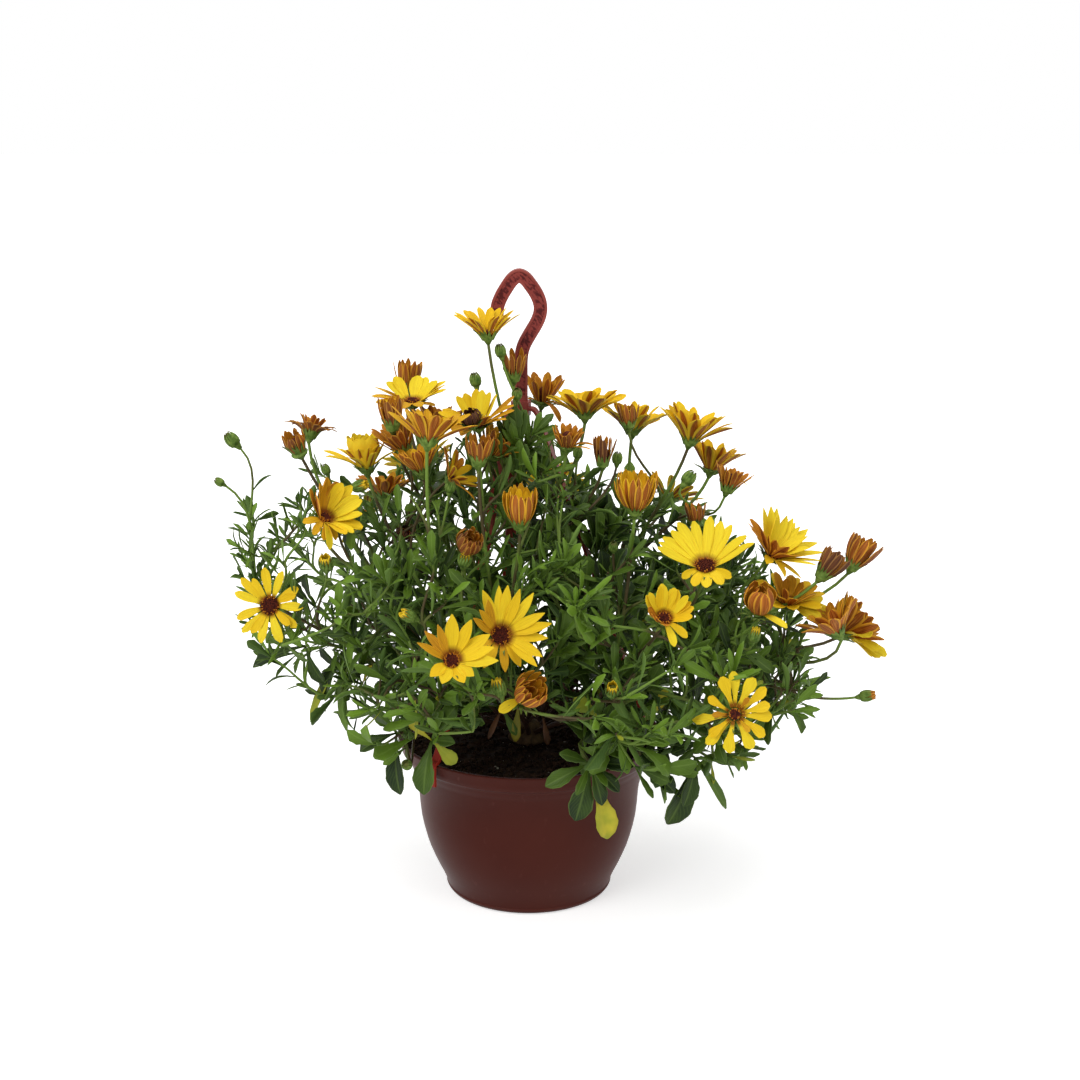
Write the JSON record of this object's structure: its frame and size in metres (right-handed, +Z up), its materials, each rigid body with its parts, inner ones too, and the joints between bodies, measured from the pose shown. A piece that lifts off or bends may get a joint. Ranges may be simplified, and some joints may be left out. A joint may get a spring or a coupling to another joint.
{
  "type": "daisy hanging basket",
  "caption": "Yellow and bronze Cape daisy plant in a brown moulded hanging pot, with a clip-on hanger that ends in a hook.",
  "frame": {"origin": "centre of the pot's flat base, on the pot's axis", "axes": "+Z up along the pot's axis, -Y towards the front with the most open view of the soil, +X to the right as seen from the front"},
  "size_m": [0.5745, 0.4834, 0.551],
  "materials": {
    "pot_plastic": "satin brown moulded plastic",
    "hanger_plastic": "satin brick red moulded plastic",
    "potting_soil": "dark crumbly peat mix with white grains",
    "woody_stem": "brown-green bark",
    "foliage": "soft matt green leaf",
    "yellow_petals": "silky yellow petal with bronze back",
    "bronze_petals": "silky bronze petal with yellow edge"
  },
  "bodies": {
    "root": {"branch_back_left": "foliage", "branch_back_right": "foliage", "branch_centre": "foliage", "branch_front": "foliage", "branch_front_right": "foliage", "branch_left": "foliage", "branch_left_front": "foliage", "branch_left_high": "foliage", "branch_left_low": "foliage", "branch_right": "foliage", "branch_right_front": "foliage", "branch_right_high": "foliage", "crown": "woody_stem", "flower_01": "yellow_petals", "flower_02": "bronze_petals", "flower_03": "yellow_petals", "flower_04": "yellow_petals", "flower_05": "yellow_petals", "flower_06": "yellow_petals", "flower_07": "yellow_petals", "flower_08": "bronze_petals", "flower_09": "bronze_petals", "flower_10": "yellow_petals", "flower_11": "yellow_petals", "flower_12": "yellow_petals", "flower_13": "yellow_petals", "flower_14": "yellow_petals", "flower_15": "yellow_petals", "flower_16": "yellow_petals", "flower_17": "bronze_petals", "flower_18": "yellow_petals", "flower_19": "yellow_petals", "flower_20": "bronze_petals", "flower_21": "bronze_petals", "flower_22": "bronze_petals", "flower_23": "yellow_petals", "flower_24": "yellow_petals", "flower_25": "yellow_petals", "flower_26": "yellow_petals", "flower_27": "bronze_petals", "flower_28": "bronze_petals", "flower_29": "bronze_petals", "flower_30": "bronze_petals", "flower_31": "bronze_petals", "flower_32": "bronze_petals", "flower_33": "bronze_petals", "flower_34": "bronze_petals", "flower_35": "bronze_petals", "flower_36": "bronze_petals", "flower_37": "bronze_petals", "flower_38": "yellow_petals", "flower_39": "yellow_petals", "flower_40": "yellow_petals", "flower_41": "yellow_petals", "hanger_hook": "hanger_plastic", "hanger_strap_back": "hanger_plastic", "hanger_strap_front_left": "hanger_plastic", "hanger_strap_right": "hanger_plastic", "pot": "pot_plastic", "soil": "potting_soil"}
  },
  "joints": []
}
